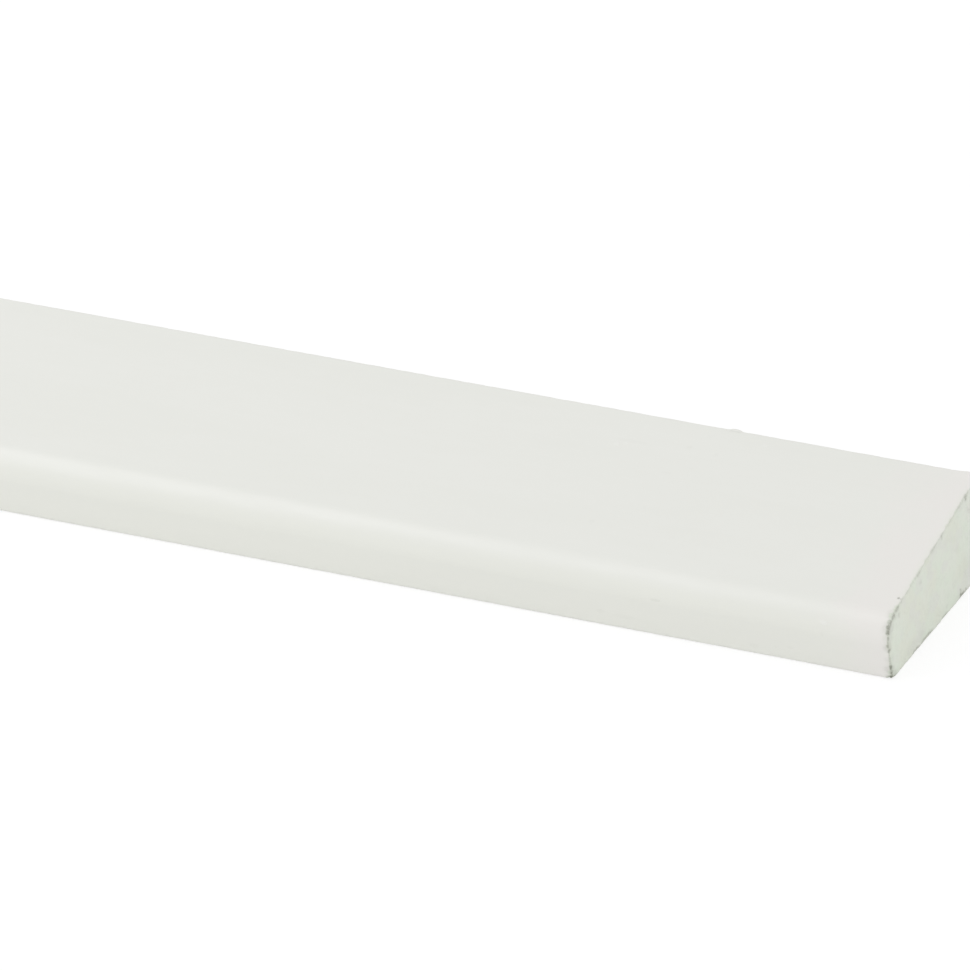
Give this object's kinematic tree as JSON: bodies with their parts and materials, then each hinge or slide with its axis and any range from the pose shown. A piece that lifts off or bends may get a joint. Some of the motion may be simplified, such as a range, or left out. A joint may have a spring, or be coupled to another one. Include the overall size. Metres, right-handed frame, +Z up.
{
  "type": "glazing bead",
  "caption": "Sloped timber glazing bead with a rounded nose, sawn square at both ends, primed white.",
  "frame": {"origin": "middle of the flat base, halfway along the length", "axes": "+X along the length, +Y towards the glass, +Z up from the base"},
  "size_m": [2.4, 0.035, 0.0169],
  "materials": {
    "primed_wood": "white primer, satin, over planed timber"
  },
  "bodies": {
    "root": {"glazing_bead": "primed_wood"}
  },
  "joints": []
}
